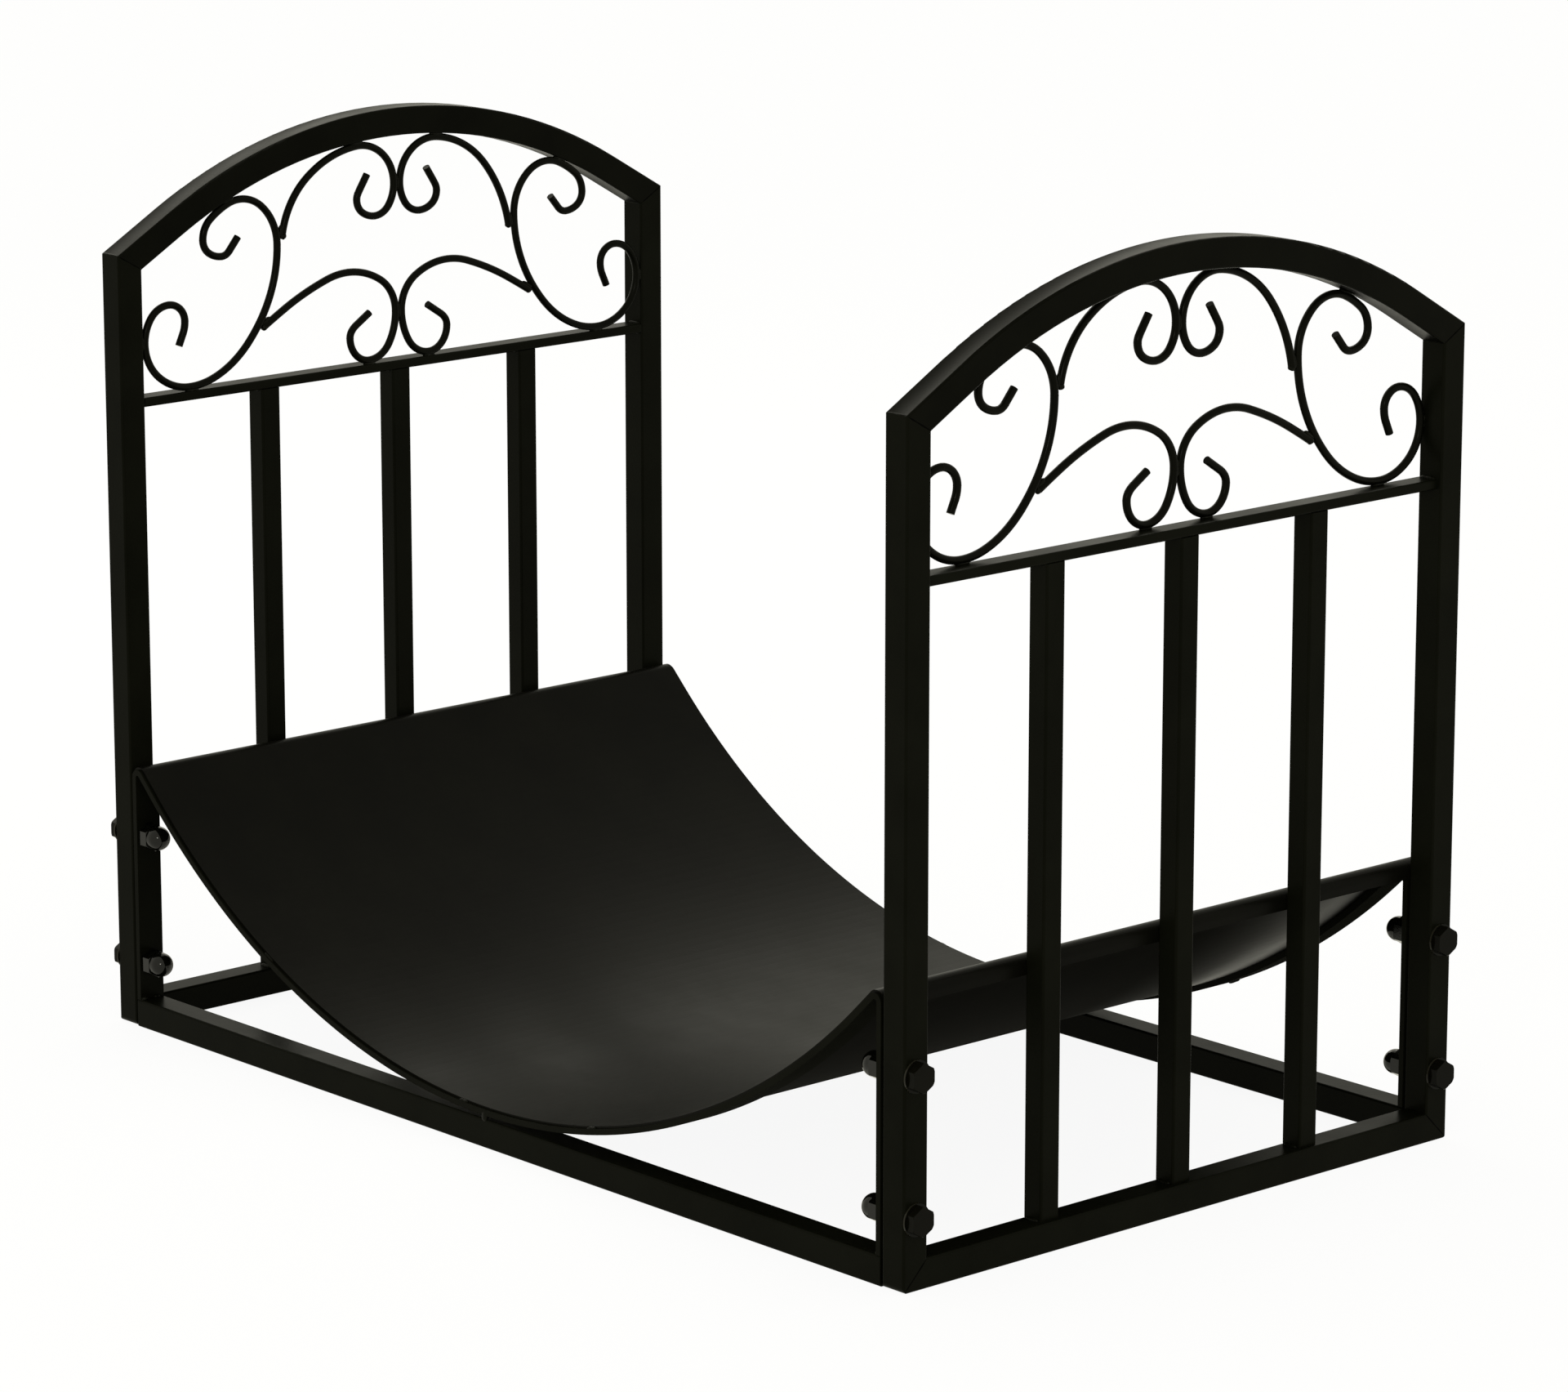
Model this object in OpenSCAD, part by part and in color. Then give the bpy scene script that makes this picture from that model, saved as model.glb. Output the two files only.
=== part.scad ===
// Fireside log holder: two arched end panels with scrollwork, and a curved tray bolted between them.
// X runs from the left panel to the right one, the front is at -Y, and the floor is z = 0.
// The origin is on the floor, under the middle of the rack.

/* [Overall] */
// Width over the outer faces of the end panels
rack_w = 614; // [540:1:690]
// Depth over the posts
rack_d = 370; // [340:1:420]
// Height of the outer corner where a post meets its arch
corner_h = 413; // [390:1:450]

/* [Frame tube] */
// Side of the square tube of the panels and of the tray's rails
tube = 15; // [13:0.5:18]
// Wall of that tube
tube_wall = 1.2; // [0.8:0.1:1.8]
// Outer edge radius of that tube
tube_edge = 1.2; // [0.5:0.1:3]
// Radius that the welded foot corners are ground to
foot_r = 3; // [1:0.5:5]

/* [Arch] */
// Slope of the arch's straight ends, in degrees
arch_slope = 30; // [26:0.5:34]
// Horizontal length of each straight end of the arch, from the outer face of the post
arch_end = 35; // [25:1:60]

/* [Bars of the panels] */
// Height of the mid rail's top face
mid_z = 337; // [315:1:350]
// Thickness of the flat mid rail
mid_h = 5; // [3:0.5:6]
// Side of the square upright bars, and width of the mid rail
bar = 12; // [8:0.5:13]
// Edge radius of the mid rail and of the upright bars
bar_edge = 1.2; // [0.4:0.1:1.8]
// Wall of the upright bars
bar_wall = 1; // [0.8:0.1:1.6]

/* [Scroll wire] */
// Diameter of the scroll wire
wire_d = 4; // [3:0.1:5]

/* [Large scroll] */
// Places are percentages: across from the post to the panel's middle, and up from the mid rail to the arch
// Tip of the lower curl
large_low_tip = [14, 20]; // [0:0.5:100]
// Inner side of the lower curl
large_low_side = [16.5, 30.5]; // [0:0.5:100]
// Top of the lower curl
large_low_top = [10.5, 38.5]; // [0:0.5:100]
// Height at which the scroll touches the post
large_post = 23; // [15:0.5:30]
// Place across at which the scroll stands on the mid rail
large_foot = 18; // [14:0.5:24]
// Rising stretch between the foot and the lower scroll
large_rise = [35, 10]; // [0:0.5:100]
// Place where the lower scroll branches off
large_fork = [45, 25]; // [0:0.5:100]
// Widest place
large_side = [52.5, 58.5]; // [0:0.5:100]
// Place across at which the scroll touches the arch
large_head = 33.5; // [30:0.5:37]
// Outer side of the upper curl
large_high_side = [24, 64.5]; // [0:0.5:100]
// Bottom of the upper curl
large_high_low = [31, 56.5]; // [0:0.5:100]
// Start of the straight tip of the upper curl
large_high_bend = [34, 58.5]; // [0:0.5:100]
// Length of that straight tip
large_high_tip = 9; // [5:0.5:14]

/* [Upper scroll] */
// Height at which the scroll of the front half branches off the large one
upper_fork_front = 62; // [50:0.5:68]
// Height at which the scroll of the back half branches off the large one
upper_fork_back = 54; // [50:0.5:68]
// Place across at which the scroll touches the arch
upper_head = 84; // [80:0.5:88]
// Height at which the two upper scrolls touch
upper_meet = 79; // [74:0.5:84]
// Bottom of the curl
upper_low = [91, 65.5]; // [0:0.5:100]
// Outer side of the curl
upper_side = [84, 73.5]; // [0:0.5:100]
// Start of the straight tip
upper_bend = [85.5, 78.5]; // [0:0.5:100]
// Length of the straight tip
upper_tip = 8.5; // [4:0.5:12]

/* [Lower scroll] */
// Shoulder of the long rise
lower_shoulder = [64, 36]; // [0:0.5:100]
// Top of the scroll
lower_top = [80, 42]; // [0:0.5:100]
// Height at which the two lower scrolls touch
lower_meet = 22; // [17:0.5:27]
// Place across at which the scroll stands on the mid rail
lower_foot = 88; // [84:0.5:92]
// Outer side of the curl
lower_side = [80.5, 12.5]; // [0:0.5:100]
// Start of the straight tip
lower_bend = [83, 18]; // [0:0.5:100]
// Length of the straight tip
lower_tip = 11; // [5:0.5:16]

/* [Tray] */
// Thickness of the trough's steel sheet, which is also the gap that its lip holds between tray and panels
sheet = 1.2; // [0.6:0.1:2]
// Distance that the sheet's front and back edges stay inside the panels
sheet_inset = 1.5; // [0.5:0.1:4]
// Length of the lip turned down outside each tray bar
lip = 3; // [2:0.5:9]
// Thickness of the bent flat bars under the sheet
strap = 3; // [2:0.1:4]
// Inner radius of the tight bend at the top of a tray bar
strap_bend = 1.5; // [1:0.1:3]
// Slope of the straight ends of the trough, in degrees
trough_slope = 44; // [40:0.5:47]
// Horizontal length of each straight end of the trough
trough_end = 12.5; // [8:0.5:30]
// Gap between a tray bar and its rail at the middle, which a spot of weld bridges
rail_gap = 2; // [0:0.5:4]

/* [Fasteners] */
// Diameter of the bolts
bolt_d = 8; // [6:0.5:8]
// Clearance round a bolt in its hole
bolt_clear = 0.5; // [0.2:0.1:1]
// Width across flats of the bolt heads and cap nuts
hex_af = 13; // [11:0.5:13.5]
// Height of a bolt head
head_h = 4.4; // [3.5:0.1:6]
// Outer diameter of the washers
washer_d = 16; // [14:0.2:18]
// Thickness of the washers
washer_h = 1; // [0.8:0.1:2]
// Height of the six-sided part of a cap nut
nut_hex_h = 6.5; // [5:0.5:8]
// Height of a whole cap nut
nut_h = 15; // [14:0.5:18]
// Length of bolt that a cap nut takes
nut_grip = 9; // [6:0.5:10]
// Height of the lower bolts
bolt_low_z = 35; // [28:1:50]
// Height of the upper bolts
bolt_high_z = 104; // [85:1:115]

/* [Hidden] */
$fn = 48;
wire_fn = 20;
steel = "#1b1b18";
wire_steel = "#20201c";
sheet_steel = "#2b2a25";
bolt_steel = "#2a2722";

// Length that a cutting prism reaches past what it cuts
reach = 12;
// Running clearance between a bolt and the bore of its cap nut
thread_clear = 0.1;
// Chamfer at the corners of a hexagon: its height, and what it takes off them seen from above
chamfer_h = 0.5;
chamfer_cut = 0.6;
// Facets of the trough's curve on each side of its middle, and of a tray bar's bend
trough_steps = 45;
bend_steps = 15;

wire_r = wire_d / 2;
// The stretches of a wire are joined by balls that stand proud of it by this much
ball_proud = 0.04;
ball_r = wire_r + ball_proud;
// Distance that a stretch stops short of the middle of such a ball
joint_gap = 0.15;
// Share of its length by which an arc bulges when it is drawn as a straight
flat_share = 0.0005;
// Doubled curvature below which two tangents count as parallel
parallel = 1e-6;
// Angle that each half of the arch runs on past the middle, where it is cut
arch_past = 5;
// Inner edge radius of a tube whose wall is thicker than its outer edge radius
least_edge = 0.2;
// Depth of the shoulder between the six-sided part of a cap nut and its dome
dome_step = 0.1;
half_d = rack_d / 2;
inner_x = rack_w / 2 - tube;

// The arch, seen in the plane of a panel
arch_r = (half_d - arch_end) / sin(arch_slope);
arch_cz = corner_h + arch_end * tan(arch_slope) - arch_r * cos(arch_slope);
arch_under = arch_cz + arch_r - tube;
inner_corner_h = corner_h + tube * tan(arch_slope) - tube / cos(arch_slope);

// The field of the scrollwork, from the post's inner face and the mid rail's top
field_w = half_d - tube;
field_h = arch_under - mid_z;

// Gap between neighbouring uprights of a panel, the same everywhere
bar_gap = (rack_d - 2 * tube - 3 * bar) / 4;

// The tray, seen from the front
leg_x = inner_x - sheet;
bend_x = leg_x - strap - strap_bend;
trough_r = (bend_x - trough_end) / sin(trough_slope);
trough_cz = tube + rail_gap + strap + trough_r;
trough_edge = [trough_r * sin(trough_slope), trough_cz - trough_r * cos(trough_slope)];
bend_z = trough_edge[1]
    + (sin(trough_slope) * (bend_x - trough_edge[0]) - (strap_bend + strap)) / cos(trough_slope);

// Placing: a panel is drawn with its inner face at x = 0 and its outer face at x = tube

module on_right() {
    translate([inner_x, 0, 0]) children();
}

module on_left() {
    mirror([1, 0, 0]) translate([inner_x, 0, 0]) children();
}

module at_back() {
    mirror([0, 1, 0]) children();
}

// Lays a shape drawn in the plane of a panel, across and up, into that plane, with its thickness along X
module in_panel() {
    rotate([90, 0, 90]) children();
}

// Lays a shape drawn as seen from the front, with its thickness from y = from to y = to
module in_front_view(from, to) {
    translate([0, to, 0]) rotate([90, 0, 0]) linear_extrude(to - from) children();
}

// Square section with rounded edges, centred
module rounded_square(side, r) {
    square([side, side - 2 * r], center = true);
    square([side - 2 * r, side], center = true);
    for (i = [-1, 1], j = [-1, 1])
        translate([i * (side / 2 - r), j * (side / 2 - r)]) circle(r);
}

module tube_section() {
    difference() {
        rounded_square(tube, tube_edge);
        rounded_square(tube - 2 * tube_wall, max(tube_edge - tube_wall, least_edge));
    }
}

// Line of a mitre seam: its outer corner, its inner corner, and the same line run on past both
function past(p, q) = q + (q - p) / norm(q - p) * reach;
foot_out = [-half_d, 0];
foot_in = [-half_d + tube, tube];
top_out = [-half_d, corner_h];
top_in = [-half_d + tube, inner_corner_h];
function other_end(p) = [-p[0], p[1]];

// The welded foot corners of a panel, ground round
module foot_corner() {
    difference() {
        translate([-half_d - reach, -reach]) square(reach + foot_r);
        translate([-half_d + foot_r, foot_r]) circle(foot_r);
        translate([-half_d + foot_r, -2 * reach]) square(4 * reach);
        translate([-half_d - 2 * reach, foot_r]) square(4 * reach);
    }
}

module ground_feet() {
    in_panel() translate([0, 0, -reach]) linear_extrude(tube + 2 * reach) {
        foot_corner();
        mirror([1, 0]) foot_corner();
    }
}

module post() {
    difference() {
        intersection() {
            translate([tube / 2, -half_d + tube / 2, -reach])
                linear_extrude(corner_h + 2 * reach) tube_section();
            in_panel() translate([0, 0, -reach]) linear_extrude(tube + 2 * reach)
                polygon([past(foot_in, foot_out), past(foot_out, foot_in),
                    past(top_out, top_in), past(top_in, top_out)]);
        }
        ground_feet();
        bolt_holes(-reach, tube + reach);
    }
}

module bottom_rail() {
    difference() {
        intersection() {
            translate([tube / 2, half_d + reach, tube / 2]) rotate([90, 0, 0])
                linear_extrude(rack_d + 2 * reach) tube_section();
            in_panel() translate([0, 0, -reach]) linear_extrude(tube + 2 * reach)
                polygon([past(foot_in, foot_out), past(foot_out, foot_in),
                    other_end(past(foot_out, foot_in)), other_end(past(foot_in, foot_out))]);
        }
        ground_feet();
    }
}

// Back half of the arch: its curve from the straight end to past the middle, and the straight end
module arch_run() {
    in_panel() translate([0, arch_cz, tube / 2]) rotate([0, 0, 90 - arch_slope]) {
        rotate_extrude(angle = arch_slope + arch_past, $fn = 240)
            translate([arch_r - tube / 2, 0]) tube_section();
        translate([arch_r - tube / 2, 0, 0]) rotate([90, 0, 0])
            linear_extrude((arch_end + reach) / cos(arch_slope)) tube_section();
    }
}

module arch_half() {
    intersection() {
        arch_run();
        in_panel() translate([0, 0, -reach]) linear_extrude(tube + 2 * reach)
            polygon([[0, corner_h - reach], other_end(past(top_out, top_in)),
                other_end(past(top_in, top_out)), [half_d + reach, arch_cz + arch_r + reach],
                [0, arch_cz + arch_r + reach]]);
    }
}

module arch() {
    arch_half();
    at_back() arch_half();
}

// Flat rail across the panel, flush with the posts' inner face
module mid_rail() {
    span = rack_d - 2 * tube;
    translate([bar / 2, span / 2, mid_z - mid_h / 2]) rotate([90, 0, 0]) linear_extrude(span) {
        square([bar, mid_h - 2 * bar_edge], center = true);
        square([bar - 2 * bar_edge, mid_h], center = true);
        for (i = [-1, 1], j = [-1, 1])
            translate([i * (bar / 2 - bar_edge), j * (mid_h / 2 - bar_edge)]) circle(bar_edge);
    }
}

// Upright number n, counted from -1 at the front to 1 at the back
module upright(n) {
    translate([bar / 2, n * (bar + bar_gap), tube]) linear_extrude(mid_z - mid_h - tube) difference() {
        rounded_square(bar, bar_edge);
        rounded_square(bar - 2 * bar_wall, max(bar_edge - bar_wall, least_edge));
    }
}

// Scroll wires: a route is a list of [place, heading], and two tangent arcs join each pair of neighbours

function at(share) = [-half_d + tube + share[0] * field_w / 100, mid_z + share[1] * field_h / 100];
function unit(a) = [cos(a), sin(a)];
function left_of(v) = [-v[1], v[0]];

// Distance along both tangents to the corners that the two arcs share
function reach_of(v, t1, t2) = let (t = t1 + t2, k = 2 * (1 - t1 * t2))
    k < parallel ? (v * v) / (4 * (v * t2)) : (sqrt((v * t) * (v * t) + k * (v * v)) - v * t) / k;

// Place where the two arcs between a and b meet
function joint(a, b) = let (t1 = unit(a[1]), t2 = unit(b[1]), d = reach_of(b[0] - a[0], t1, t2))
    (a[0] + b[0] + d * (t1 - t2)) / 2;

// Angle that an arc turns through when it leaves p along heading h and ends at q
function turn(p, h, q) = let (w = q - p) 2 * atan2(left_of(unit(h)) * w, unit(h) * w);

// A wire stretch that leaves p along heading h and ends at q: an arc, or a straight where it hardly turns.
// It stops short of both ends, inside the balls there.
module wire_run(p, h, q) {
    w = q - p;
    side = left_of(unit(h)) * w;
    if (abs(side) < flat_share * norm(w)) {
        translate(p) rotate([0, 90, h]) translate([0, 0, joint_gap])
            cylinder(r = wire_r, h = norm(w) - 2 * joint_gap, $fn = wire_fn);
    } else {
        r = (w * w) / (2 * side);
        short = joint_gap / abs(r) * 180 / PI;
        sweep = turn(p, h, q);
        translate(p + r * left_of(unit(h))) rotate([0, 0, h - 90 * sign(r) + min(sweep, 0) + short])
            rotate_extrude(angle = abs(sweep) - 2 * short, $fn = 120)
                translate([abs(r), 0]) circle(wire_r, $fn = wire_fn);
    }
}

// Ball at p, with its poles along the wire's heading h
module ball(p, h) {
    translate(p) rotate([0, 90, h]) sphere(ball_r, $fn = wire_fn);
}

module wire(route) {
    last = len(route) - 2;
    in_panel() translate([0, 0, ball_r]) for (i = [0 : last]) {
        mid = joint(route[i], route[i + 1]);
        heading = route[i][1] + turn(route[i][0], route[i][1], mid);
        wire_run(route[i][0], route[i][1], mid);
        ball(mid, heading);
        wire_run(mid, heading, route[i + 1][0]);
        if (i < last) ball(route[i + 1][0], route[i + 1][1]);
    }
}

// Place on a wire that touches the arch from below, at share percent across
function arch_touch(share) = let (y = at([share, 0])[0], r = arch_r - tube - ball_r)
    [y, arch_cz + sqrt(r * r - y * y)];
// Slope of the arch there
function arch_lean(share) = asin(-at([share, 0])[0] / (arch_r - tube - ball_r));
// Places on a wire that touches the post, the mid rail and the wire of the other half
function post_touch(share) = [-half_d + tube + ball_r, at([0, share])[1]];
function rail_touch(share) = [at([share, 0])[0], mid_z + ball_r];
function middle_touch(share) = [-ball_r, at([0, share])[1]];
// Start of a branch that leaves along heading from, on the right of a wire at p that runs along heading h:
// the edge of its end face touches that wire
function beside(p, h, from) = p - wire_r * (1 + cos(h - from)) * left_of(unit(h));

// Headings of the curls' tips and of the branches, in degrees
low_tip_heading = 66;
rise_heading = 36;
fork_heading = 56;
high_tip_heading = 50;
upper_start_heading = 80;
upper_tip_heading = 57;
lower_start_heading = 31;
shoulder_heading = 23;
lower_tip_heading = 33;

large_route = [
    [at(large_low_tip), low_tip_heading],
    [at(large_low_side), 90],
    [at(large_low_top), 180],
    [post_touch(large_post), 270],
    [rail_touch(large_foot), 0],
    [at(large_rise), rise_heading],
    [at(large_fork), fork_heading],
    [at(large_side), 90],
    [arch_touch(large_head), 180 + arch_lean(large_head)],
    [at(large_high_side), 270],
    [at(large_high_low), 0],
    [at(large_high_bend), high_tip_heading],
    [at(large_high_bend) + large_high_tip * unit(high_tip_heading), high_tip_heading]];

// Place and heading of the large scroll at a height near its widest place, on the two arcs that meet there
side_above = joint(large_route[7], large_route[8]);
side_below = joint(large_route[6], large_route[7]);
function side_radius(q) = let (w = q - at(large_side)) (w * w) / (2 * abs(w[0]));
function on_side(share) = let (rise = at([0, share])[1] - at(large_side)[1],
    r = side_radius(rise > 0 ? side_above : side_below))
    [at(large_side) - [r - sqrt(r * r - rise * rise), -rise], 90 + asin(rise / r)];

function upper_route(share) = [
    [beside(on_side(share)[0], on_side(share)[1], upper_start_heading), upper_start_heading],
    [arch_touch(upper_head), arch_lean(upper_head)],
    [middle_touch(upper_meet), 270],
    [at(upper_low), 180],
    [at(upper_side), 90],
    [at(upper_bend), upper_tip_heading],
    [at(upper_bend) + upper_tip * unit(upper_tip_heading), upper_tip_heading]];

lower_route = [
    [beside(at(large_fork), fork_heading, lower_start_heading), lower_start_heading],
    [at(lower_shoulder), shoulder_heading],
    [at(lower_top), 0],
    [middle_touch(lower_meet), 270],
    [rail_touch(lower_foot), 180],
    [at(lower_side), 90],
    [at(lower_bend), lower_tip_heading],
    [at(lower_bend) + lower_tip * unit(lower_tip_heading), lower_tip_heading]];

module large_scroll() {
    wire(large_route);
}

module upper_scroll(fork) {
    wire(upper_route(fork));
}

module lower_scroll() {
    wire(lower_route);
}

// Tray

function arc(c, r, from, to, steps) = [for (i = [0 : steps]) c + r * unit(from + (to - from) * i / steps)];
function reversed(path) = [for (i = [len(path) - 1 : -1 : 0]) path[i]];

// Line that runs at a height above the bars' top face, seen from the front: from the middle of the trough
// along its curve, over the bend, and down a leg
function half_line(above, leg) = concat(
    arc([0, trough_cz], trough_r - above, -90, trough_slope - 90, trough_steps),
    arc([bend_x, bend_z], strap_bend + strap + above, 90 + trough_slope, 0, bend_steps),
    [[bend_x + strap_bend + strap + above, bend_z - leg]]);

// The same line from one leg to the other
function whole_line(above, leg) = concat(
    [for (p = reversed(half_line(above, leg))) [-p[0], p[1]]],
    [for (i = [1 : trough_steps + bend_steps + 2]) half_line(above, leg)[i]]);

// Strip between two such lines
module strip(low, high, leg) {
    polygon(concat(whole_line(high, leg), reversed(whole_line(low, leg))));
}

// Bent flat bar: a leg on the rail's end, a tight bend, the trough's curve, and the same again
module tray_bar() {
    difference() {
        in_front_view(-half_d, -half_d + tube) strip(-strap, 0, bend_z - tube);
        on_right() bolt_holes(-reach, 0);
        on_left() bolt_holes(-reach, 0);
    }
}

module trough() {
    in_front_view(-half_d + sheet_inset, half_d - sheet_inset) strip(0, sheet, lip);
}

module tray_rail() {
    translate([-leg_x, -half_d + tube / 2, tube / 2]) rotate([0, 90, 0])
        linear_extrude(2 * leg_x) tube_section();
}

// Fasteners, drawn for a front post in the frame of its panel

module at_bolts() {
    for (z = [bolt_low_z, bolt_high_z]) translate([0, -half_d + tube / 2, z]) rotate([0, 90, 0]) children();
}

module bolt_holes(from, to) {
    at_bolts() translate([0, 0, from]) cylinder(d = bolt_d + bolt_clear, h = to - from);
}

hex_corner = hex_af / sqrt(3);

// Six-sided prism from z = 0 to h, with its corners chamfered at the top
module hex_part(h) {
    intersection() {
        cylinder(r = hex_corner, h = h, $fn = 6);
        rotate_extrude() polygon([[0, 0], [hex_corner + reach, 0], [hex_corner + reach, h - chamfer_h],
            [hex_corner, h - chamfer_h], [hex_corner - chamfer_cut, h], [0, h]]);
    }
}

module bolts() {
    inner_end = -sheet - strap - nut_grip;
    at_bolts() {
        translate([0, 0, tube + washer_h]) hex_part(head_h);
        translate([0, 0, inner_end]) cylinder(d = bolt_d, h = tube + washer_h - inner_end);
    }
}

module washers() {
    at_bolts() translate([0, 0, tube]) difference() {
        cylinder(d = washer_d, h = washer_h);
        translate([0, 0, -reach]) cylinder(d = bolt_d + bolt_clear, h = 2 * reach);
    }
}

module cap_nuts() {
    dome_r = hex_af / 2 - dome_step;
    at_bolts() translate([0, 0, -sheet - strap]) mirror([0, 0, 1]) difference() {
        union() {
            hex_part(nut_hex_h);
            cylinder(r = dome_r, h = nut_h - dome_r);
            translate([0, 0, nut_h - dome_r]) sphere(dome_r);
        }
        translate([0, 0, -1]) cylinder(d = bolt_d + 2 * thread_clear, h = nut_grip + 2);
    }
}

// Left panel

module left_front_post() {
    color(steel) on_left() post();
}

module left_back_post() {
    color(steel) on_left() at_back() post();
}

module left_bottom_rail() {
    color(steel) on_left() bottom_rail();
}

module left_arch() {
    color(steel) on_left() arch();
}

module left_mid_rail() {
    color(steel) on_left() mid_rail();
}

module left_front_bar() {
    color(steel) on_left() upright(-1);
}

module left_centre_bar() {
    color(steel) on_left() upright(0);
}

module left_back_bar() {
    color(steel) on_left() upright(1);
}

module left_front_large_scroll() {
    color(wire_steel) on_left() large_scroll();
}

module left_back_large_scroll() {
    color(wire_steel) on_left() at_back() large_scroll();
}

module left_front_upper_scroll() {
    color(wire_steel) on_left() upper_scroll(upper_fork_front);
}

module left_back_upper_scroll() {
    color(wire_steel) on_left() at_back() upper_scroll(upper_fork_back);
}

module left_front_lower_scroll() {
    color(wire_steel) on_left() lower_scroll();
}

module left_back_lower_scroll() {
    color(wire_steel) on_left() at_back() lower_scroll();
}

// Right panel

module right_front_post() {
    color(steel) on_right() post();
}

module right_back_post() {
    color(steel) on_right() at_back() post();
}

module right_bottom_rail() {
    color(steel) on_right() bottom_rail();
}

module right_arch() {
    color(steel) on_right() arch();
}

module right_mid_rail() {
    color(steel) on_right() mid_rail();
}

module right_front_bar() {
    color(steel) on_right() upright(-1);
}

module right_centre_bar() {
    color(steel) on_right() upright(0);
}

module right_back_bar() {
    color(steel) on_right() upright(1);
}

module right_front_large_scroll() {
    color(wire_steel) on_right() large_scroll();
}

module right_back_large_scroll() {
    color(wire_steel) on_right() at_back() large_scroll();
}

module right_front_upper_scroll() {
    color(wire_steel) on_right() upper_scroll(upper_fork_front);
}

module right_back_upper_scroll() {
    color(wire_steel) on_right() at_back() upper_scroll(upper_fork_back);
}

module right_front_lower_scroll() {
    color(wire_steel) on_right() lower_scroll();
}

module right_back_lower_scroll() {
    color(wire_steel) on_right() at_back() lower_scroll();
}

// Tray parts

module front_rail() {
    color(steel) tray_rail();
}

module back_rail() {
    color(steel) at_back() tray_rail();
}

module front_tray_bar() {
    color(steel) tray_bar();
}

module back_tray_bar() {
    color(steel) at_back() tray_bar();
}

module trough_sheet() {
    color(sheet_steel) trough();
}

// Fastener groups

module left_front_bolts() {
    color(bolt_steel) on_left() bolts();
}

module left_back_bolts() {
    color(bolt_steel) on_left() at_back() bolts();
}

module right_front_bolts() {
    color(bolt_steel) on_right() bolts();
}

module right_back_bolts() {
    color(bolt_steel) on_right() at_back() bolts();
}

module left_front_washers() {
    color(bolt_steel) on_left() washers();
}

module left_back_washers() {
    color(bolt_steel) on_left() at_back() washers();
}

module right_front_washers() {
    color(bolt_steel) on_right() washers();
}

module right_back_washers() {
    color(bolt_steel) on_right() at_back() washers();
}

module left_front_cap_nuts() {
    color(bolt_steel) on_left() cap_nuts();
}

module left_back_cap_nuts() {
    color(bolt_steel) on_left() at_back() cap_nuts();
}

module right_front_cap_nuts() {
    color(bolt_steel) on_right() cap_nuts();
}

module right_back_cap_nuts() {
    color(bolt_steel) on_right() at_back() cap_nuts();
}

left_front_post();
left_back_post();
left_bottom_rail();
left_arch();
left_mid_rail();
left_front_bar();
left_centre_bar();
left_back_bar();
left_front_large_scroll();
left_back_large_scroll();
left_front_upper_scroll();
left_back_upper_scroll();
left_front_lower_scroll();
left_back_lower_scroll();
right_front_post();
right_back_post();
right_bottom_rail();
right_arch();
right_mid_rail();
right_front_bar();
right_centre_bar();
right_back_bar();
right_front_large_scroll();
right_back_large_scroll();
right_front_upper_scroll();
right_back_upper_scroll();
right_front_lower_scroll();
right_back_lower_scroll();
front_rail();
back_rail();
front_tray_bar();
back_tray_bar();
trough_sheet();
left_front_bolts();
left_back_bolts();
right_front_bolts();
right_back_bolts();
left_front_washers();
left_back_washers();
right_front_washers();
right_back_washers();
left_front_cap_nuts();
left_back_cap_nuts();
right_front_cap_nuts();
right_back_cap_nuts();
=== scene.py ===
"""Log holder: black painted steel rack. The frame carries the tubes, wires and sheet, and this script adds the
finish of every surface, the weld beads, the floor, the light and the camera."""

import math
import random

import bmesh
import bpy
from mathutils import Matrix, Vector


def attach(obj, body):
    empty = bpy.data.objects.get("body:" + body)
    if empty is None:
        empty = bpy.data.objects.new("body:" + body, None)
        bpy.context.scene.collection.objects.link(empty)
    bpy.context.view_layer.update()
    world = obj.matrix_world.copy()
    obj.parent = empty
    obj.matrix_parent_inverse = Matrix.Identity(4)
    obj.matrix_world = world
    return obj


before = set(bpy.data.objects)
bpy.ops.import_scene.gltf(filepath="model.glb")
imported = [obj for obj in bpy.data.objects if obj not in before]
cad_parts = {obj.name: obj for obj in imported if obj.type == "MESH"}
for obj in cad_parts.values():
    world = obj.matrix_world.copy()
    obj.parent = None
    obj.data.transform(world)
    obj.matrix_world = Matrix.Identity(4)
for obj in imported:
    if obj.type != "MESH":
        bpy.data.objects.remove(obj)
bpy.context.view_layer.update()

# Sizes of the frame, in metres. +X is towards the right end panel, -Y towards the front.
RACK_W = 0.614
RACK_D = 0.370
TUBE = 0.015
CORNER_H = 0.413
ARCH_SLOPE = math.radians(30)
ARCH_END = 0.035
MID_Z = 0.337
MID_H = 0.005
BAR = 0.012
WIRE_R = 0.002
SHEET = 0.0012
STRAP = 0.003
STRAP_BEND = 0.0015
RAIL_GAP = 0.002
TROUGH_SLOPE = math.radians(44)
TROUGH_END = 0.0125

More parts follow.
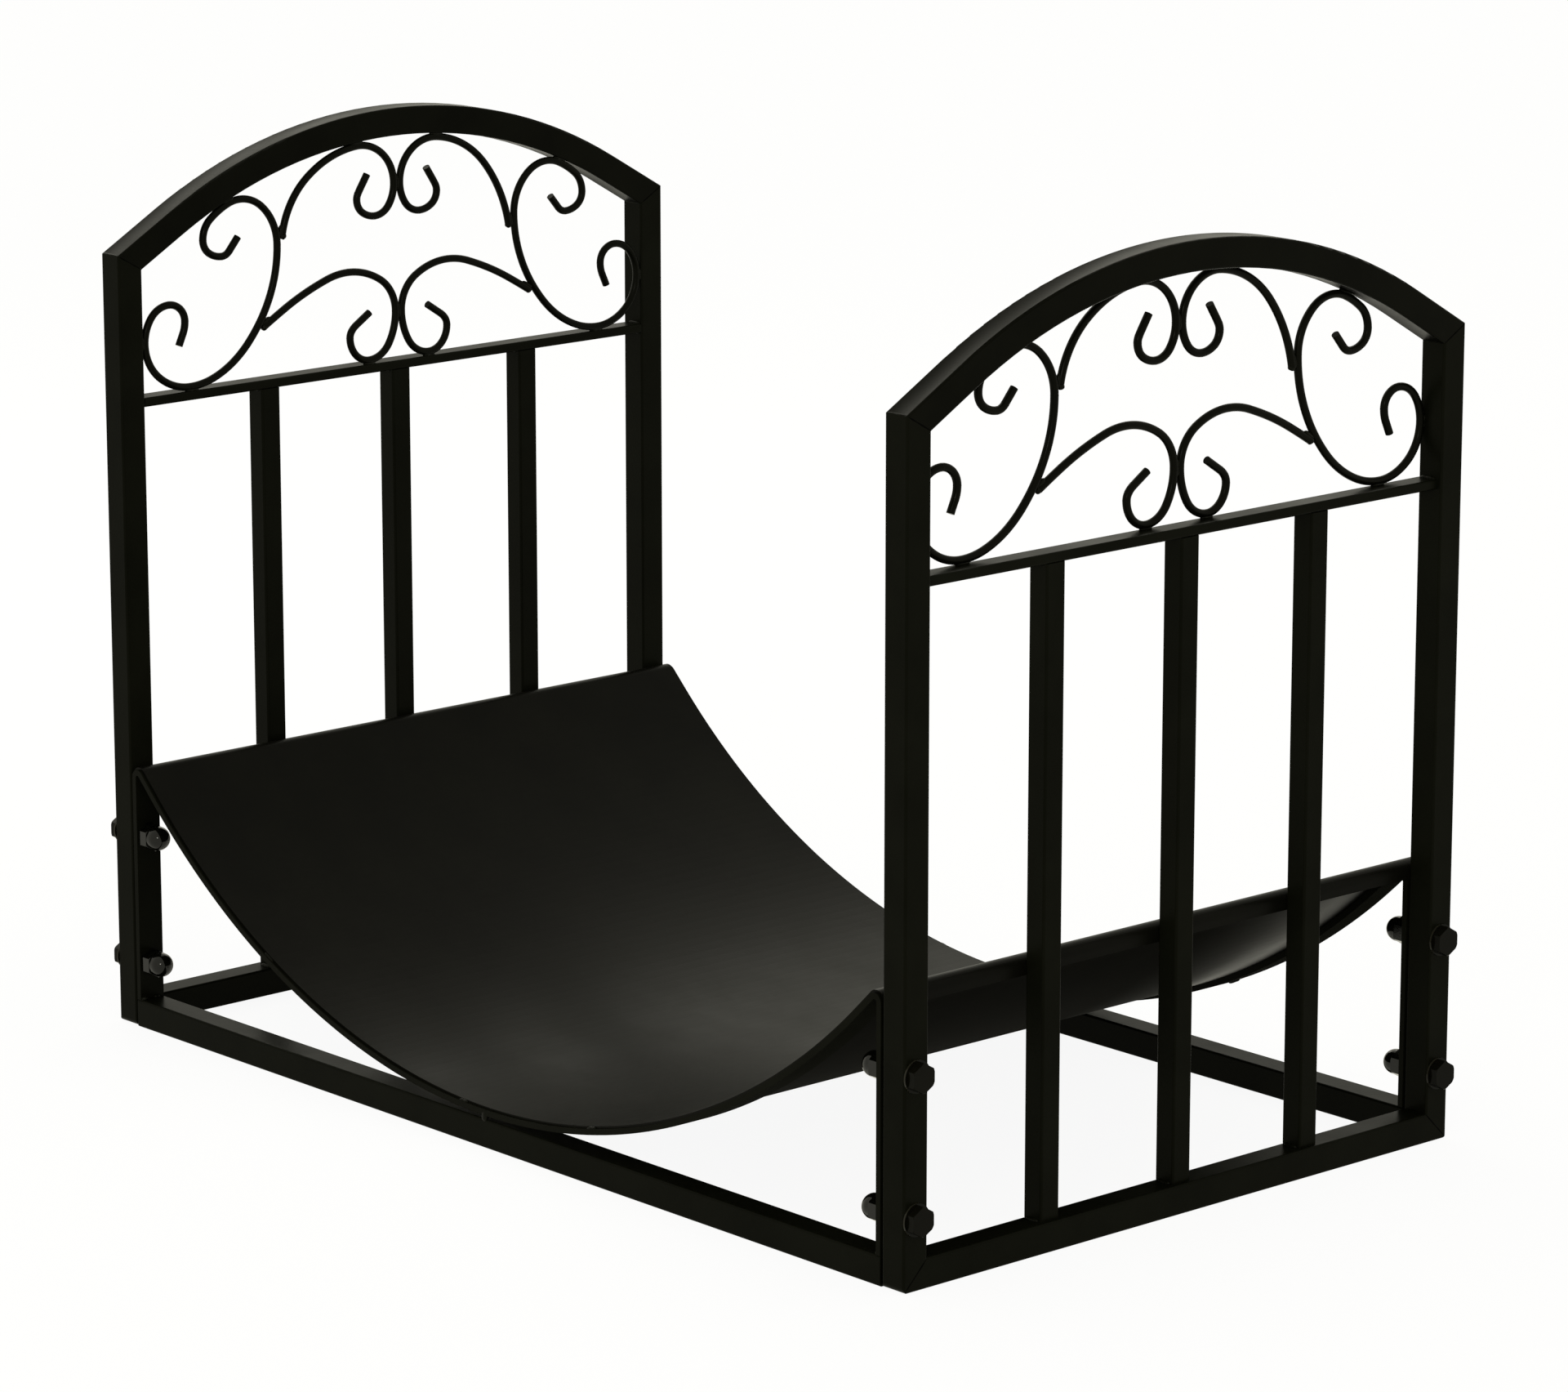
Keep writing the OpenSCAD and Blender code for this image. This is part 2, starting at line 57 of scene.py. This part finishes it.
# Sizes that follow from them
INNER_X = RACK_W / 2 - TUBE
BAR_STEP = (RACK_D - 2 * TUBE - 3 * BAR) / 4 + BAR
ARCH_R = (RACK_D / 2 - ARCH_END) / math.sin(ARCH_SLOPE)
ARCH_CZ = CORNER_H + ARCH_END * math.tan(ARCH_SLOPE) - ARCH_R * math.cos(ARCH_SLOPE)
INNER_CORNER_H = CORNER_H + TUBE * math.tan(ARCH_SLOPE) - TUBE / math.cos(ARCH_SLOPE)
FIELD_W = RACK_D / 2 - TUBE
FIELD_H = ARCH_CZ + ARCH_R - TUBE - MID_Z
LEG_X = INNER_X - SHEET
TROUGH_R = (LEG_X - STRAP - STRAP_BEND - TROUGH_END) / math.sin(TROUGH_SLOPE)
TROUGH_CZ = TUBE + RAIL_GAP + STRAP + TROUGH_R


# Node trees

def new_material(name):
    material = bpy.data.materials.new(name)
    material.use_nodes = True
    tree = material.node_tree
    return material, tree, tree.nodes["Principled BSDF"]


def put(tree, value, socket):
    """Links an output to the input socket, or sets the input to a plain value."""
    if isinstance(value, bpy.types.NodeSocket):
        tree.links.new(value, socket)
    else:
        socket.default_value = value


def node(tree, kind, **values):
    """A new node. Each value goes to the property or the input of that name, with the input's spaces written as _."""
    made = tree.nodes.new(kind)
    for key, value in values.items():
        if hasattr(made, key):
            setattr(made, key, value)
        else:
            put(tree, value, made.inputs[key.replace("_", " ")])
    return made


def maths(tree, operation, *values):
    made = node(tree, "ShaderNodeMath", operation=operation)
    for value, socket in zip(values, made.inputs):
        put(tree, value, socket)
    return made.outputs[0]


def mix_colours(tree, factor, first, second):
    """The Mix node's sockets for colours have numbers here, because its other types use the same names."""
    made = node(tree, "ShaderNodeMix", data_type="RGBA", Factor=factor)
    put(tree, first, made.inputs[6])
    put(tree, second, made.inputs[7])
    return made.outputs[2]


def axes_of(tree, vector):
    return node(tree, "ShaderNodeSeparateXYZ", Vector=vector).outputs


def face_direction(tree):
    return axes_of(tree, node(tree, "ShaderNodeNewGeometry").outputs["True Normal"])


def noise(tree, place, scale, detail, rough):
    made = node(tree, "ShaderNodeTexNoise", Vector=place, Scale=scale, Detail=detail, Roughness=rough)
    return made.outputs["Fac"]


def fade(tree, value, start, end, low=0.0, high=1.0):
    """From low, where the value is at start, to high, where it is at end."""
    made = node(tree, "ShaderNodeMapRange", Value=value, From_Min=start, From_Max=end, To_Min=low, To_Max=high)
    return made.outputs["Result"]


def ramp(tree, value, stops, colours):
    made = node(tree, "ShaderNodeValToRGB", Fac=value)
    for element, stop, colour in zip(made.color_ramp.elements, stops, colours):
        element.position = stop
        element.color = (*colour, 1)
    return made.outputs["Color"]


def bump(tree, height, strength, depth, normal=None):
    made = node(tree, "ShaderNodeBump", Height=height, Strength=strength, Distance=depth)
    if normal is not None:
        tree.links.new(normal, made.inputs["Normal"])
    return made.outputs["Normal"]


# Materials

CLOUD_NOISE = (22.0, 4.0, 0.6)
CLOUD_STOPS = (0.35, 0.7)
GLOSS_RANGE = (0.3, 0.7)
GRAIN_STRENGTH = 0.35
WAVE_STRENGTH = 0.5
LOOKS_DOWN = (-0.1, -0.4)
FULLY_MATT = 1.0


def painted_rim_highlight(tree, colour, rim_highlight):
    """Faces that don't look along the rack, such as a washer's rim, are painted in the lighter rim colour: a painted
    highlight that stands in for the rim's glint.
    """
    along = maths(tree, "ABSOLUTE", face_direction(tree)["X"])
    return mix_colours(tree, along, (*rim_highlight, 1), colour)


def dry_below(tree, place, rough, back, front):
    """Faces that look down turn matt between two places from back to front, as where the spray reached only as
    dust."""
    down = fade(tree, face_direction(tree)["Z"], *LOOKS_DOWN)
    forward = fade(tree, axes_of(tree, place)["Y"], back, front)
    both = maths(tree, "MULTIPLY", down, forward)
    return node(tree, "ShaderNodeMix", data_type="FLOAT", Factor=both, A=rough, B=FULLY_MATT).outputs["Result"]


def hollow_tube(tree, place, depth, normal):
    """A panel's tube is hollowed by that depth along its top and bottom, as a square tube is where it was bent."""
    off_middle = maths(tree, "SUBTRACT", maths(tree, "ABSOLUTE", axes_of(tree, place)["X"]), INNER_X + TUBE / 2)
    to_edge = maths(tree, "ABSOLUTE", maths(tree, "DIVIDE", off_middle, TUBE / 2))
    return bump(tree, maths(tree, "POWER", to_edge, 2), 1.0, depth, normal)


def paint(name, colours, rough, specular, grain, wave=None, dry_under=None, cup=None, rim_highlight=None):
    """Black paint on steel: faint clouds between two colours, a slow unevenness of gloss and an orange-peel grain.
    rough is the roughness and how far it strays. grain and wave are each a scale and a depth in metres."""
    material, tree, shader = new_material(name)
    place = node(tree, "ShaderNodeTexCoord").outputs["Object"]
    cloud = noise(tree, place, *CLOUD_NOISE)
    colour = ramp(tree, cloud, CLOUD_STOPS, colours)
    # A painted highlight: faces that don't look along the rack, such as a washer's rim, get a lighter colour
    if rim_highlight:
        colour = painted_rim_highlight(tree, colour, rim_highlight)
    middle, spread = rough
    gloss = fade(tree, cloud, *GLOSS_RANGE, middle - spread, middle + spread)
    if dry_under:
        gloss = dry_below(tree, place, gloss, *dry_under)
    scale, depth = grain
    normal = bump(tree, noise(tree, place, scale, 3.0, 0.55), GRAIN_STRENGTH, depth)
    if wave:
        scale, depth = wave
        normal = bump(tree, noise(tree, place, scale, 2.0, 0.5), WAVE_STRENGTH, depth, normal)
    if cup:
        normal = hollow_tube(tree, place, cup, normal)
    put(tree, colour, shader.inputs["Base Color"])
    put(tree, gloss, shader.inputs["Roughness"])
    put(tree, normal, shader.inputs["Normal"])
    shader.inputs["Specular IOR Level"].default_value = specular
    return material


TUBE_COLOURS = ((0.0024, 0.0026, 0.0013), (0.0038, 0.0041, 0.0023))
WIRE_COLOURS = ((0.0018, 0.0019, 0.0010), (0.0029, 0.0030, 0.0017))
ARCH_COLOURS = ((0.0018, 0.0019, 0.0010), (0.0029, 0.0031, 0.0017))
SHEET_COLOURS = ((0.0018, 0.0018, 0.0012), (0.0030, 0.0030, 0.0020))
HEAD_COLOURS = ((0.0020, 0.0020, 0.0012), (0.0036, 0.0034, 0.0022))
WASHER_COLOURS = ((0.0018, 0.0018, 0.0011), (0.0032, 0.0030, 0.0020))
# Lighter colour for the washers' rims: a painted highlight for their glint
WASHER_RIM_HIGHLIGHT = (0.016, 0.015, 0.011)
NUT_COLOURS = ((0.0008, 0.0009, 0.0006), (0.0020, 0.0021, 0.0014))
SEAM_COLOURS = ((0.0006, 0.0006, 0.0004), (0.0010, 0.0010, 0.0007))

TUBE_PAINT = paint("tube_paint", TUBE_COLOURS, (0.34, 0.05), 0.02, (900, 0.00010))
WIRE_PAINT = paint("wire_paint", WIRE_COLOURS, (0.24, 0.05), 0.033, (1100, 0.00008))
ARCH_PAINT = paint("arch_paint", ARCH_COLOURS, (0.32, 0.05), 0.022, (900, 0.00010), cup=0.0005)
SHEET_PAINT = paint("sheet_paint", SHEET_COLOURS, (0.34, 0.04), 0.034, (800, 0.00008), wave=(14, 0.0003),
                    dry_under=(0.15, 0.05))
BAR_PAINT = paint("tray_bar_paint", TUBE_COLOURS, (0.34, 0.05), 0.02, (900, 0.00010), dry_under=(0.30, 0.20))
HEAD_PAINT = paint("bolt_paint", HEAD_COLOURS, (0.18, 0.04), 0.04, (1300, 0.00005))
WASHER_FINISH = paint("washer_finish", WASHER_COLOURS, (0.14, 0.03), 0.07, (1300, 0.00005), rim_highlight=WASHER_RIM_HIGHLIGHT)
NUT_FINISH = paint("cap_nut_finish", NUT_COLOURS, (0.08, 0.02), 0.25, (1300, 0.00003))
SEAM_PAINT = paint("ground_seam_paint", SEAM_COLOURS, (0.60, 0.05), 0.01, (1500, 0.00010))
WELD_PAINT = paint("weld_paint", TUBE_COLOURS, (0.26, 0.05), 0.05, (1500, 0.00015))

# Words in the names of CAD nodes, and the finish of each. The rest are tubes and bars.
FINISHES = (
    ("trough_sheet", SHEET_PAINT),
    ("scroll", WIRE_PAINT),
    ("arch", ARCH_PAINT),
    ("tray_bar", BAR_PAINT),
    ("cap_nuts", NUT_FINISH),
    ("washers", WASHER_FINISH),
    ("bolts", HEAD_PAINT),
)


def finish_of(name):
    for word, finish in FINISHES:
        if word in name:
            return finish
    return TUBE_PAINT


for name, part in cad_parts.items():
    for slot in part.material_slots:
        slot.material = finish_of(name)


# Welds

# Width and height of each kind of bead, in metres
TOUCH_BEAD = (0.0036, 0.0013)
FORK_BEAD = (0.0030, 0.0013)
MIDDLE_BEAD = (0.0032, 0.0014)
SEAM_BEAD = (0.0007, 0.00012)
MITRE_BEAD = (0.0010, 0.0003)
MID_RAIL_BEAD = (0.0022, 0.0010)
UPRIGHT_BEAD = (0.0026, 0.0011)
SHEET_BEAD = (0.0022, 0.0009)
UNDER_BEAD = (0.0020, 0.0010)

# A bead tapers over this share of its length at each end, and its tip keeps this share of its section
TAPER = 0.18
TIP = 0.06

# A bead's middle stands this far off the face it lies on
PROUD = 0.0003

# The wires of a fork lie this far apart, and the spot of weld at the end of the one has this radius
FORK_GAP = 1.95 * WIRE_R
FORK_SPOT = 0.0021


def add_bead(mesh, path, size, normal, chance, sides=10, ripple=0.18):
    """A weld bead along a path: an uneven flattened sausage, half sunk in the surface with that normal."""
    width, height = size
    rings = []
    count = len(path)
    up = Vector(normal).normalized()
    for i, point in enumerate(path):
        ahead = path[min(i + 1, count - 1)] - path[max(i - 1, 0)]
        side = ahead.normalized().cross(up)
        end = min(i, count - 1 - i) / max(1.0, count * TAPER)
        taper = math.sqrt(min(1.0, end * (2 - min(end, 1.0)) + TIP))
        swell = 1 + ripple * (chance.random() - 0.5) * 2
        ring = []
        for k in range(sides):
            turn = 2 * math.pi * k / sides
            offset = (side * (math.cos(turn) * width / 2 * taper * swell)
                      + up * (math.sin(turn) * height * taper * swell))
            ring.append(mesh.verts.new(point + offset))
        rings.append(ring)
    for a, b in zip(rings, rings[1:]):
        for k in range(sides):
            mesh.faces.new((a[k], a[(k + 1) % sides], b[(k + 1) % sides], b[k]))
    mesh.faces.new(reversed(rings[0]))
    mesh.faces.new(rings[-1])


def add_blob(mesh, centre, axes, chance, ripple=0.16):
    """A spot of weld: an uneven ball whose half axes are the three vectors given."""
    made = bmesh.ops.create_icosphere(mesh, subdivisions=2, radius=1.0)
    for vert in made["verts"]:
        swell = 1 + ripple * (chance.random() - 0.5) * 2
        x, y, z = vert.co
        vert.co = Vector(centre) + (Vector(axes[0]) * x + Vector(axes[1]) * y + Vector(axes[2]) * z) * swell


def straight_axes(x, y, z):
    return (x, 0, 0), (0, y, 0), (0, 0, z)


def finish_piece(name, mesh, finish):
    bmesh.ops.recalc_face_normals(mesh, faces=mesh.faces)
    data = bpy.data.meshes.new(name)
    mesh.to_mesh(data)
    mesh.free()
    piece = bpy.data.objects.new(name, data)
    bpy.context.scene.collection.objects.link(piece)
    for polygon in data.polygons:
        polygon.use_smooth = True
    data.materials.append(finish)
    smooth = piece.modifiers.new("smooth", "SUBSURF")
    smooth.levels = 1
    smooth.render_levels = 1
    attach(piece, "root")


def line(a, b, steps):
    a, b = Vector(a), Vector(b)
    return [a.lerp(b, i / steps) for i in range(steps + 1)]


def field_across(percent):
    """A place in the scrollwork's field, in metres from the post's outer face towards the panel's middle."""
    return TUBE + percent * FIELD_W / 100


def field_up(percent):
    """A place in the scrollwork's field, in metres from the floor."""
    return MID_Z + percent * FIELD_H / 100


def arch_under(across):
    y = RACK_D / 2 - across
    return ARCH_CZ + math.sqrt((ARCH_R - TUBE) ** 2 - y * y)


class Corner:
    """One half of an end panel: side 1 is the right panel and half -1 its front half. A place is given across from
    the outer face of the post to the panel's middle, up from the floor, and out from the panel's inner face."""

    def __init__(self, side, half):
        self.side = side
        self.half = half

    def place(self, across, up, out):
        return Vector((self.side * (INNER_X + out), self.half * (RACK_D / 2 - across), up))

    def way(self, across, up, out=0.0):
        return Vector((self.side * out, -self.half * across, up))


def scroll_welds(mesh, corner, upper_fork, chance):
    """Welds where the scroll wires touch the frame and branch off each other."""
    large_top = field_across(33.5)
    upper_top = field_across(84)
    # Place across and up, way of the bead, its length, and the normal of the face: one on the post, two on the mid
    # rail and two under the arch
    touches = (
        (TUBE + PROUD, field_up(23), (0, 1), 0.0080, (1, 0)),
        (field_across(18) + 0.001, MID_Z + PROUD, (1, 0), 0.0090, (0, 1)),
        (field_across(88), MID_Z + PROUD, (1, 0), 0.0080, (0, 1)),
        (large_top, arch_under(large_top) - PROUD, (1, 0.29), 0.0090, (0, -1)),
        (upper_top, arch_under(upper_top) - PROUD, (1, 0.08), 0.0090, (0, -1)),
    )
    for across, up, way, length, normal in touches:
        reach = Vector(way).normalized() * length / 2
        a = corner.place(across - reach.x, up - reach.y, WIRE_R)
        b = corner.place(across + reach.x, up + reach.y, WIRE_R)
        add_bead(mesh, line(a, b, 6), TOUCH_BEAD, corner.way(*normal), chance)
    # Place of each fork in percent, heading of the wire that goes on, and turn of the one that branches off
    for across, up, heading, turn in ((52.5, upper_fork, 90, 10), (45, 25, 56, 25)):
        lean, start = math.radians(heading), math.radians(heading - turn)
        end = corner.place(field_across(across) + FORK_GAP * math.sin(lean),
                           field_up(up) - FORK_GAP * math.cos(lean), WIRE_R)
        along = corner.way(math.cos(start), math.sin(start))
        beside = corner.way(math.sin(start), -math.cos(start))
        spot = (along * FORK_SPOT, beside * FORK_SPOT, corner.way(0, 0, FORK_SPOT))
        add_blob(mesh, end - along * 0.0002, spot, chance)
        seam = end - beside * WIRE_R
        add_bead(mesh, line(seam - along * 0.002, seam + along * 0.006, 6), FORK_BEAD, beside, chance)


def corner_seams(mesh, corner, chance):
    """Mitre seams at the top and the foot of a post, ground flush and left rough, on its inner and outer faces. They
    end just inside the tube's edges."""
    for out, normal in ((0.0, -1), (TUBE, 1)):
        facing = corner.way(0, 0, normal)
        top = line(corner.place(0.0006, CORNER_H - 0.0003, out),
                   corner.place(TUBE - 0.0002, INNER_CORNER_H + 0.0002, out), 10)
        foot = line(corner.place(0.0012, 0.0012, out), corner.place(TUBE - 0.0003, TUBE - 0.0003, out), 10)
        for path in (top, foot):
            add_bead(mesh, path, SEAM_BEAD, facing, chance, sides=8, ripple=0.4)


def corner_welds(mesh, corner, chance):
    """Beads at the outer and the inner corner of the mitre of post and arch, and the fillets at the end of the mid
    rail."""
    for across, up, inset in ((0.0004, CORNER_H + 0.0002, 0.001), (TUBE, INNER_CORNER_H, 0.0015)):
        path = line(corner.place(across, up, inset), corner.place(across, up, TUBE - inset), 10)
        add_bead(mesh, path, MITRE_BEAD, corner.way(-0.5, 0.9), chance, sides=8, ripple=0.3)
    for up, rise in ((MID_Z, 1), (MID_Z - MID_H, -1)):
        path = line(corner.place(TUBE, up, 0.0012), corner.place(TUBE, up, BAR - 0.0012), 7)
        add_bead(mesh, path, MID_RAIL_BEAD, corner.way(0.7, 0.7 * rise), chance)


def upright_welds(mesh, side, chance):
    """Fillets at the foot and the top of each upright bar, on its front and back faces."""
    near, far = side * (INNER_X + 0.0018), side * (INNER_X + BAR - 0.0018)
    for n in (-1, 0, 1):
        for face in (-1, 1):
            y = n * BAR_STEP + face * BAR / 2
            for z, rise in ((TUBE, 1), (MID_Z - MID_H, -1)):
                add_bead(mesh, line((near, y, z), (far, y, z), 7), UPRIGHT_BEAD, (0, face, rise), chance)


def middle_welds(mesh, side, chance):
    """Beads where the two halves of the scrollwork touch, at the upper and the lower scrolls."""
    corner = Corner(side, -1)
    reach = Vector((0, 0, 0.0045))
    for percent in (79, 22):
        centre = corner.place(RACK_D / 2, field_up(percent), WIRE_R)
        add_bead(mesh, line(centre - reach, centre + reach, 6), MIDDLE_BEAD, (0, 1, 0), chance)


def panel_welds(name, side):
    """The welds of one end panel, and its seams as a piece of their own. The upper scroll branches off higher in the
    front half than in the back half."""
    chance = random.Random(7 + side)
    mesh = bmesh.new()
    for half, upper_fork in ((-1, 62), (1, 54)):
        corner = Corner(side, half)
        scroll_welds(mesh, corner, upper_fork, chance)
        corner_welds(mesh, corner, chance)
    middle_welds(mesh, side, chance)
    upright_welds(mesh, side, chance)
    finish_piece(name + "_welds", mesh, WELD_PAINT)
    seams = bmesh.new()
    for half in (-1, 1):
        corner_seams(seams, Corner(side, half), chance)
    finish_piece(name + "_seams", seams, SEAM_PAINT)


def trough_z(x, below=0.0):
    return TROUGH_CZ - math.sqrt((TROUGH_R + below) ** 2 - x * x)


def trough_path(x, y, reach, below=0.0, lift=0.0):
    """A short straight way along the trough's curve, to both sides of a place."""
    ahead = Vector((reach, 0, trough_z(x + reach, below) - trough_z(x, below)))
    spot = Vector((x, y, trough_z(x, below) + lift))
    return line(spot - ahead, spot + ahead, 6)


def tray_welds():
    """Welds of the tray: a spot from bar to rail at the middle, two spots at the foot of each leg, bumps on the
    sheet's edges, and one bead under the back tray bar."""
    chance = random.Random(11)
    mesh = bmesh.new()
    for half in (-1, 1):
        face = half * RACK_D / 2
        add_blob(mesh, (0, face - half * 0.0006, TUBE + 0.0012), straight_axes(0.0025, 0.0010, 0.0031), chance)
        for side in (-1, 1):
            foot_x = side * (LEG_X - STRAP)
            add_blob(mesh, (foot_x, face - half * 0.0022, TUBE + 0.0004),
                     straight_axes(0.0022, 0.0022, 0.0017), chance)
            add_blob(mesh, (foot_x, face - half * 0.0105, TUBE + 0.0003),
                     straight_axes(0.0013, 0.0019, 0.0013), chance)
    for x, half in ((-0.017, -1), (0.0819, -1), (-0.176, -1), (0.205, 1), (-0.06, 1)):
        path = trough_path(x, half * (RACK_D / 2 - 0.0012), 0.0035, lift=0.0002)
        add_bead(mesh, path, SHEET_BEAD, (0, half * 0.4, 1), chance)
    under = trough_path(0.1596, RACK_D / 2 - 0.001, 0.004, below=STRAP)
    add_bead(mesh, under, UNDER_BEAD, (0, 0, -1), chance)
    finish_piece("tray_welds", mesh, WELD_PAINT)


panel_welds("left_panel", -1)
panel_welds("right_panel", 1)
tray_welds()


# Floor, light and camera

STUDIO_WARM = (1.0, 0.98, 0.84, 1)
WHITE = (1, 1, 1, 1)
LAMP_WARM = (1.0, 0.98, 0.86)
FLOOR_REACH = 6.0
FLOOR_GREY = (0.9, 0.9, 0.9, 1)
FLOOR_ROUGH = 0.9
FLOOR_GLOW = 0.92

# Name, place, the point it looks at, width and height in metres, and power in watts
LAMPS = (
    ("by_the_camera", (1.95, -2.35, 1.25), (0, 0, 0.15), (0.4, 0.4), 14.0),
    ("above_left", (-1.65, 0.3, 1.5), (0, 0, 0.35), (0.8, 0.8), 5.5),
    ("behind_left", (-1.55, 1.38, 1.15), (0, 0, 0.4), (1.2, 0.5), 2.0),
)

# The photograph's view, fitted to the rack's corners: place in metres, and angles in degrees
CAMERA_PLACE = (2.3384, -2.0746, 0.9345)
CAMERA_DOWN = 13.185
CAMERA_TURN = 48.213
CAMERA_LENS = 144.67
CAMERA_SENSOR = 36
CAMERA_REACH = 20


def white_or_warm(tree, path):
    """White to the camera, and the slightly warm white of the studio to every other ray."""
    return mix_colours(tree, path.outputs["Is Camera Ray"], STUDIO_WARM, WHITE)


def floor():
    """Pale floor. It keeps a faint shadow of the rack, and the camera and the paint see it nearly white."""
    corners = [(x * FLOOR_REACH, y * FLOOR_REACH, 0) for x, y in ((-1, -1), (1, -1), (1, 1), (-1, 1))]
    data = bpy.data.meshes.new("floor")
    data.from_pydata(corners, [], [(0, 1, 2, 3)])
    plane = bpy.data.objects.new("floor", data)
    bpy.context.scene.collection.objects.link(plane)
    material, tree, shader = new_material("floor_white")
    shader.inputs["Base Color"].default_value = FLOOR_GREY
    shader.inputs["Roughness"].default_value = FLOOR_ROUGH
    shader.inputs["Specular IOR Level"].default_value = 0.0
    path = node(tree, "ShaderNodeLightPath")
    glow = node(tree, "ShaderNodeEmission", Color=white_or_warm(tree, path), Strength=1.0)
    seen = path.outputs["Is Camera Ray"]
    for ray in ("Is Glossy Ray", "Is Transmission Ray"):
        seen = maths(tree, "MAXIMUM", seen, path.outputs[ray])
    mix = node(tree, "ShaderNodeMixShader", Fac=maths(tree, "MULTIPLY", seen, FLOOR_GLOW))
    tree.links.new(shader.outputs["BSDF"], mix.inputs[1])
    tree.links.new(glow.outputs["Emission"], mix.inputs[2])
    tree.links.new(mix.outputs["Shader"], tree.nodes["Material Output"].inputs["Surface"])
    data.materials.append(material)


def sky():
    world = bpy.data.worlds.new("studio")
    bpy.context.scene.world = world
    world.use_nodes = True
    tree = world.node_tree
    back = tree.nodes["Background"]
    tree.links.new(white_or_warm(tree, node(tree, "ShaderNodeLightPath")), back.inputs["Color"])
    back.inputs["Strength"].default_value = 1.0


def softbox(name, place, target, size, power):
    light = bpy.data.lights.new(name, "AREA")
    light.shape = "RECTANGLE"
    light.size, light.size_y = size
    light.energy = power
    light.color = LAMP_WARM
    lamp = bpy.data.objects.new(name, light)
    lamp.visible_camera = False
    bpy.context.scene.collection.objects.link(lamp)
    lamp.location = place
    lamp.rotation_euler = (Vector(target) - Vector(place)).to_track_quat("-Z", "Y").to_euler()


def camera():
    data = bpy.data.cameras.new("camera")
    data.sensor_width = CAMERA_SENSOR
    data.lens = CAMERA_LENS
    data.clip_end = CAMERA_REACH
    view = bpy.data.objects.new("camera", data)
    bpy.context.scene.collection.objects.link(view)
    view.location = CAMERA_PLACE
    view.rotation_euler = (math.radians(90 - CAMERA_DOWN), 0, math.radians(CAMERA_TURN))
    bpy.context.scene.camera = view


floor()
sky()
for lamp in LAMPS:
    softbox(*lamp)
camera()

bpy.context.scene.view_settings.view_transform = "Standard"
